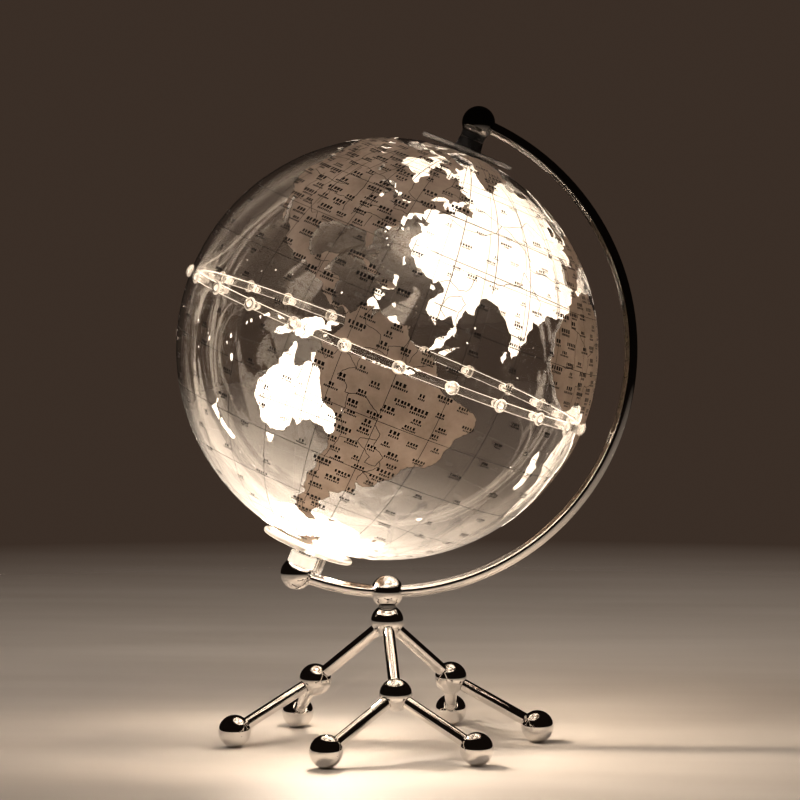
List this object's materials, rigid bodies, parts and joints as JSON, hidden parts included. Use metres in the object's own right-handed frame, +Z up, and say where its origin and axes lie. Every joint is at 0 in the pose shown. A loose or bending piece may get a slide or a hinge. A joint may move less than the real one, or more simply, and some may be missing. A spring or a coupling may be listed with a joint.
{
  "type": "desktop globe on stand",
  "caption": "Clear lit terrestrial globe on a tilted axis, carried by a chrome half-round arc that swivels on a stand of polished balls and rods.",
  "frame": {"origin": "on the table, straight below the swivel and the globe's centre", "axes": "+Z up; the arc lies in the XZ plane with its bow on the +X side and the globe's axis leans towards +X at the top; -Y is the front"},
  "size_m": [0.2185, 0.2028, 0.3041],
  "materials": {
    "chrome": "mirror-polished chrome plate",
    "steel": "turned steel",
    "clear_shell": "clear acrylic with a faint smoke tint",
    "clear_trim": "clear acrylic, polished edges",
    "black_plastic": "gloss black moulding",
    "frosted_plastic": "frosted translucent, lit from inside",
    "white_plastic": "satin white moulding",
    "led_phosphor": "yellow phosphor, lit",
    "lead_sheath": "pale flexible sheath",
    "brass_contact": "turned brass",
    "ink_land": "printed film ink, warm taupe",
    "ink_white": "white underlayer of the printed film",
    "ink_line": "dark printed lines"
  },
  "bodies": {
    "stand": {"hub_ball": "chrome", "swivel_washer": "steel", "swivel_spring_washer": "steel", "upper_strut_front": "chrome", "knee_ball_front": "chrome", "lower_strut_front_a": "chrome", "foot_ball_front_a": "chrome", "lower_strut_front_b": "chrome", "foot_ball_front_b": "chrome", "upper_strut_right": "chrome", "knee_ball_right": "chrome", "lower_strut_right_a": "chrome", "foot_ball_right_a": "chrome", "lower_strut_right_b": "chrome", "foot_ball_right_b": "chrome", "upper_strut_left": "chrome", "knee_ball_left": "chrome", "lower_strut_left_a": "chrome", "foot_ball_left_a": "chrome", "lower_strut_left_b": "chrome", "foot_ball_left_b": "chrome"},
    "arc": {"arc_ball": "chrome", "pole_ball_upper": "chrome", "pole_ball_lower": "chrome", "arc_tube_long": "chrome", "arc_tube_short": "chrome", "upper_collar_ring": "chrome", "swivel_screw": "steel", "upper_pivot_pin": "steel", "lower_stud": "steel", "lower_disc": "clear_trim", "lead_sleeve": "clear_trim", "upper_collar": "black_plastic", "power_inlet": "black_plastic", "lower_collar": "frosted_plastic", "lower_spacer": "frosted_plastic", "lamp_diffuser": "frosted_plastic", "lamp_base": "white_plastic", "led_board": "white_plastic", "led_emitter": "led_phosphor", "lamp_lead": "lead_sheath", "power_inlet_pin": "brass_contact"},
    "globe": {"upper_shell": "clear_shell", "lower_shell": "clear_shell", "equator_hoop": "clear_trim", "equator_rivets": "clear_trim", "upper_boss": "black_plastic", "upper_nut": "black_plastic", "upper_disc": "clear_trim", "lower_bush": "white_plastic"}
  },
  "joints": [
    {"name": "arc_swivel", "type": "hinge", "parent": "stand", "child": "arc", "pos_m": [0, 0, 0.06671], "axis": [0, 0, 1], "continuous": true},
    {"name": "globe_spin", "type": "hinge", "parent": "arc", "child": "globe", "pos_m": [0, 0, 0.18921], "axis": [0.3746, 0, 0.9272], "continuous": true}
  ]
}
